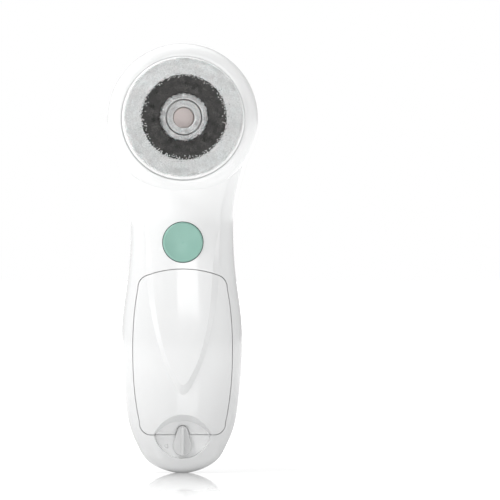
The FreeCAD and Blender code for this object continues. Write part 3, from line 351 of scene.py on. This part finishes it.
def tuft_places(inner, outer, pitch, random):
    """Tufts stand in round rows, each row's start turned at random; all in mm from the brush's axis."""
    rows = max(1, round((outer - inner) / pitch))
    places = []
    for row in range(rows):
        radius = inner + (row + 0.5) * (outer - inner) / rows
        count = round(2 * math.pi * radius / pitch)
        start = random.uniform(0, 2 * math.pi)
        for k in range(count):
            angle = start + 2 * math.pi * k / count
            places.append((radius * math.cos(angle), radius * math.sin(angle)))
    return np.array(places), (outer - inner) / rows


def filament_points(roots, tips, thick, random):
    """Each filament's points: a ring of them at each level, slightly bowed, and the tip."""
    count = len(roots)
    bow = random.normal(0, BOW, (count, 2))
    spin = random.uniform(0, 2 * math.pi, count)
    columns = []
    for share, width in LEVELS:
        middle = roots + (tips - roots) * share
        middle[:, :2] += bow * math.sin(math.pi * share)
        for side in range(SIDES):
            turn = spin + 2 * math.pi * side / SIDES
            ring = middle.copy()
            ring[:, 0] += np.cos(turn) * thick * width
            ring[:, 1] += np.sin(turn) * thick * width
            columns.append(ring)
    columns.append(tips)
    return np.stack(columns, axis=1)


def filament_faces(count, per):
    """The sides of every filament and the small faces that close it at its tip; per is its number of points."""
    sides = []
    for level in range(len(LEVELS) - 1):
        for side in range(SIDES):
            a, b = level * SIDES + side, level * SIDES + (side + 1) % SIDES
            sides.append((a, b, b + SIDES, a + SIDES))
    last = (len(LEVELS) - 1) * SIDES
    caps = [(last + side, last + (side + 1) % SIDES, per - 1) for side in range(SIDES)]
    starts = (np.arange(count) * per)[:, None, None]
    return (starts + np.array(sides)[None]).reshape(-1, 4), (starts + np.array(caps)[None]).reshape(-1, 3)


def to_world(points):
    """From the brush's own frame, x across, y up and z out of its face, to metres in the world."""
    world = np.empty_like(points)
    world[:, 0] = points[:, 0] * MM
    world[:, 1] = PLATE_FRONT_Y - points[:, 2] * MM
    world[:, 2] = BRUSH_AXIS_Z + points[:, 1] * MM
    return world


def polygon_mesh(name, points, quads, triangles):
    """A mesh from arrays; the quads are smooth and the triangles, the filaments' tips, stay crisp."""
    mesh = bpy.data.meshes.new(name)
    loops = np.concatenate([quads.reshape(-1), triangles.reshape(-1)])
    lengths = np.concatenate([np.full(len(quads), 4), np.full(len(triangles), 3)])
    mesh.vertices.add(len(points))
    mesh.vertices.foreach_set("co", points.astype(np.float32).reshape(-1))
    mesh.loops.add(len(loops))
    mesh.loops.foreach_set("vertex_index", loops.astype(np.int32))
    mesh.polygons.add(len(lengths))
    mesh.polygons.foreach_set("loop_start", (np.cumsum(lengths) - lengths).astype(np.int32))
    mesh.update(calc_edges=True)
    mesh.polygons.foreach_set("use_smooth", lengths == 4)
    return mesh


def filament_mesh(name, roots, tips, shades, thick, core, random):
    """All filaments of a ring and its core as one mesh, which carries each point's place along and its shade."""
    rows = filament_points(roots, tips, thick, random)
    count, per = rows.shape[:2]
    points = rows.reshape(-1, 3)
    quads, triangles = filament_faces(count, per)
    core_points, core_along, core_faces = core
    quads = np.concatenate([quads, core_faces + len(points)])
    mesh = polygon_mesh(name, to_world(np.concatenate([points, core_points])), quads, triangles)

    along = np.tile([share for share, _ in LEVELS for _ in range(SIDES)] + [1.0], count)
    along = np.concatenate([along, core_along])
    # filaments keep their own brightness; the core gets CORE_SHADE, painted shade of the tuft's depth
    shade = np.concatenate([np.repeat(shades, per), np.full(len(core_points), CORE_SHADE)])
    for label, values in (("along", along), ("shade", shade)):
        attribute = mesh.attributes.new(label, "FLOAT", "POINT")
        attribute.data.foreach_set("value", values.astype(np.float32))
    return mesh


def core_mesh(inner, outer, height, random):
    """The dense depth of a ring, where its filaments press together: a rough-topped ring, open below."""
    turns = CORE_TURNS
    angles = np.linspace(0, 2 * math.pi, turns, endpoint=False)
    radii = np.concatenate([[inner], np.linspace(inner, outer, CORE_ACROSS), [outer]])
    heights = np.concatenate([[0.0], np.full(CORE_ACROSS, height), [0.0]])
    points, along = [], []
    for radius, level in zip(radii, heights):
        lumps = random.normal(0, CORE_LUMPS, turns) if level else np.zeros(turns)
        points.append(np.column_stack([radius * np.cos(angles), radius * np.sin(angles), level + lumps]))
        along.append(np.full(turns, CORE_ALONG if level else 0.0))
    rings = len(radii)
    faces = [(row * turns + k, row * turns + (k + 1) % turns, (row + 1) * turns + (k + 1) % turns,
              (row + 1) * turns + k) for row in range(rings - 1) for k in range(turns)]
    return np.concatenate(points), np.concatenate(along), np.array(faces)


def tuft_pattern(filaments):
    """Evenly spread places in a circle of radius 1, on a sunflower's spiral."""
    order = np.arange(filaments)
    reach = np.sqrt((order + 0.5) / filaments)
    turn = order * GOLDEN_ANGLE
    return np.stack([reach * np.cos(turn), reach * np.sin(turn)], axis=1)


def grow_tufts(ring, length, outer, random):
    """The root, tip and brightness of every filament of a ring."""
    places, row_width = tuft_places(ring["inner"], outer, ring["pitch"], random)
    filaments, uneven = ring["filaments"], ring["uneven"]
    pattern = tuft_pattern(filaments)
    root_r, tip_r = ROOT_SPREAD * row_width, ring["splay"] * row_width
    roots, tips, shades = [], [], []
    for place in places:
        swirl = random.uniform(0, 2 * math.pi)
        spin = np.array([[math.cos(swirl), -math.sin(swirl)], [math.sin(swirl), math.cos(swirl)]])
        turned = pattern @ spin.T
        lean = random.normal(0, LEAN, 2)
        tuft_length = length - abs(random.normal(0, uneven))
        base = place + turned * root_r
        loose = LOOSE_STRAY if abs(np.hypot(*place) - LOOSE_BORDER) < LOOSE_REACH else ring["stray"]
        end = place + turned * tip_r + random.normal(0, loose, (filaments, 2)) + lean
        height = tuft_length - np.abs(random.normal(0, uneven, filaments))
        shades.append(random.normal(1.0, ring["mottle"]) * random.uniform(SHADE_LOW, SHADE_HIGH, filaments))
        roots.append(np.column_stack([base, np.zeros(filaments)]))
        tips.append(np.column_stack([end, height]))
    roots, tips, shades = np.concatenate(roots), np.concatenate(tips), np.concatenate(shades)
    inward, outward = ring["overhang"]
    radius = np.hypot(tips[:, 0], tips[:, 1])
    held = np.clip(radius, ring["inner"] - inward, outer + outward - ring["thick"])
    tips[:, :2] *= (held / radius)[:, None]
    return roots, tips, shades


def bristle_ring(node, ring, material):
    """Fills the room of one ring node with tufts of filaments over a dense core."""
    random = np.random.default_rng(len(node))
    low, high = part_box(node)
    outer = (high.x - low.x) / 2 / MM
    length = (PLATE_FRONT_Y - low.y) / MM
    roots, tips, shades = grow_tufts(ring, length, outer, random)
    core = core_mesh(ring["inner"], outer + ring["core_reach"], length - ring["core_depth"], random)
    mesh = filament_mesh(node + "_filaments", roots, tips, shades, ring["thick"], core, random)
    piece = bpy.data.objects.new(node + "_filaments", mesh)
    bpy.context.scene.collection.objects.link(piece)
    mesh.materials.append(material)
    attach(piece, "brush_head")
    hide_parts(node)
    return piece


def make_bristles(materials):
    for node, ring in RINGS.items():
        slot = ring["slot"]
        piece = bristle_ring(node, ring, materials[slot])


make_camera()
make_studio()
MATERIALS = make_materials()
dress_cad_nodes(MATERIALS)
make_bristles(MATERIALS)
